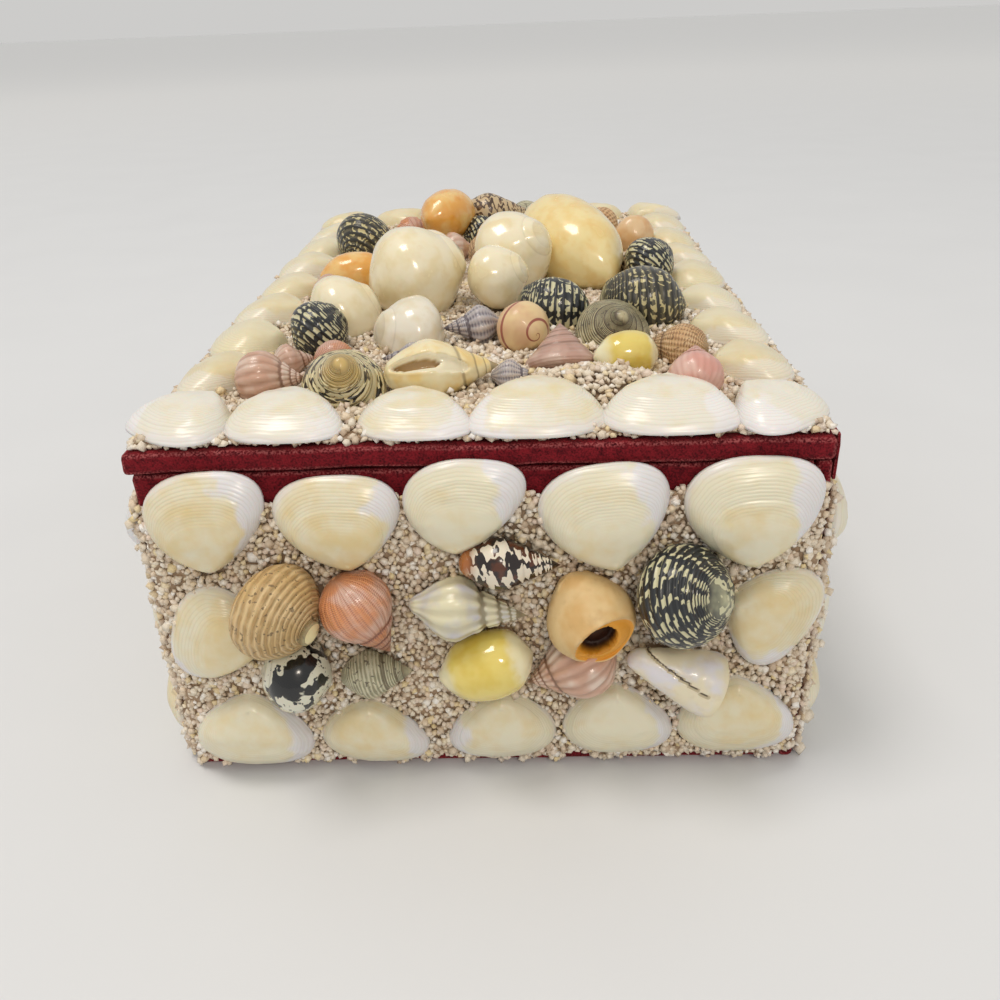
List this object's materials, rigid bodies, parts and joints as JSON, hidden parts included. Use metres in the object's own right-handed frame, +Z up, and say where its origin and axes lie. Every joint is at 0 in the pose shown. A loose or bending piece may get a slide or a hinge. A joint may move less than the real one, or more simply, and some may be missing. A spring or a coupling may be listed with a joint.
{
  "type": "shell trinket box",
  "caption": "Rectangular pasteboard trinket box covered in red flock, coral sand, half clams and small snail shells, with a lid hinged along one long side.",
  "frame": {"origin": "middle of the underside of the tray with its spine board, without the shells", "axes": "+Z up; Y along the long sides, -Y the front end; +X the long side that carries the hinge"},
  "size_m": [0.1354, 0.2121, 0.0887],
  "materials": {
    "flocked_paper": "deep red flocked paper, like short velvet",
    "coral_sand": "coarse coral sand set in clear glue, with half clams fused in it where they are not nodes",
    "ivory_shell": "polished ivory clam, fine growth lines, bluish white towards the margin",
    "cream_shell": "smooth cream porcelain-like snail shell",
    "tan_shell": "dull tan shell, worn and slightly pitted",
    "orange_shell": "orange to salmon shell, finely ribbed or smooth",
    "pink_shell": "pink-brown ribbed shell",
    "grey_shell": "cream and grey ribbed shell with bluish patches",
    "striped_shell": "black shell with cream stripes and flecks, glossy",
    "brown_shell": "dark brown and white mottled shell, glossy",
    "yellow_shell": "glossy pale to lemon yellow shell"
  },
  "bodies": {
    "box": {"tray": "flocked_paper", "spine_board": "flocked_paper", "hinge_cloth_box": "flocked_paper", "front_sand": "coral_sand", "back_sand": "coral_sand", "left_sand": "coral_sand", "right_sand": "coral_sand", "front_clam_top_1": "ivory_shell", "front_clam_top_2": "ivory_shell", "front_clam_top_3": "ivory_shell", "front_clam_top_4": "ivory_shell", "front_clam_top_5": "ivory_shell", "front_clam_side_left": "ivory_shell", "front_clam_side_right": "ivory_shell", "front_clam_bottom_1": "ivory_shell", "front_clam_bottom_2": "ivory_shell", "front_clam_bottom_3": "ivory_shell", "front_clam_bottom_4": "ivory_shell", "front_clam_bottom_5": "ivory_shell", "striped_nerite": "striped_shell", "open_moon_snail": "tan_shell", "ribbed_cap_shell": "tan_shell", "orange_whelk": "orange_shell", "knobbed_whelk": "grey_shell", "patterned_dove_shell": "brown_shell", "yellow_bubble_shell": "yellow_shell", "pink_turban": "pink_shell", "broken_conch": "cream_shell", "dotted_nerite": "striped_shell", "speckled_top_shell": "grey_shell"},
    "lid": {"lid_board": "flocked_paper", "hinge_cloth_lid": "flocked_paper", "lid_sand": "coral_sand", "great_moon_snail": "cream_shell", "great_cowry": "yellow_shell", "small_moon_snail": "cream_shell", "spiral_moon_snail": "cream_shell", "great_nerite": "striped_shell", "dark_nerite": "striped_shell", "black_nerite": "striped_shell", "striped_top_shell": "grey_shell", "cream_turban": "striped_shell", "left_nerite": "striped_shell", "left_moon_snail": "cream_shell", "white_moon_snail": "cream_shell", "little_strombus": "cream_shell", "pink_ribbed_whelk": "pink_shell", "banded_shell": "tan_shell", "beaded_whelk": "grey_shell", "pink_cone_shell": "pink_shell", "blue_spire_shell": "grey_shell", "glossy_yellow_shell": "yellow_shell", "tan_netted_shell": "tan_shell", "rose_whelk": "pink_shell", "orange_bubble_shell": "orange_shell", "far_nerite": "brown_shell", "orange_cowry": "orange_shell", "mottled_dove_shell": "brown_shell", "brown_spire_shell": "brown_shell", "peach_moon_snail": "tan_shell"}
  },
  "joints": [
    {"name": "lid_hinge", "type": "hinge", "parent": "box", "child": "lid", "pos_m": [0.0589, 0, 0.0633], "axis": [0, 1, 0], "range_deg": [0, 100]}
  ]
}
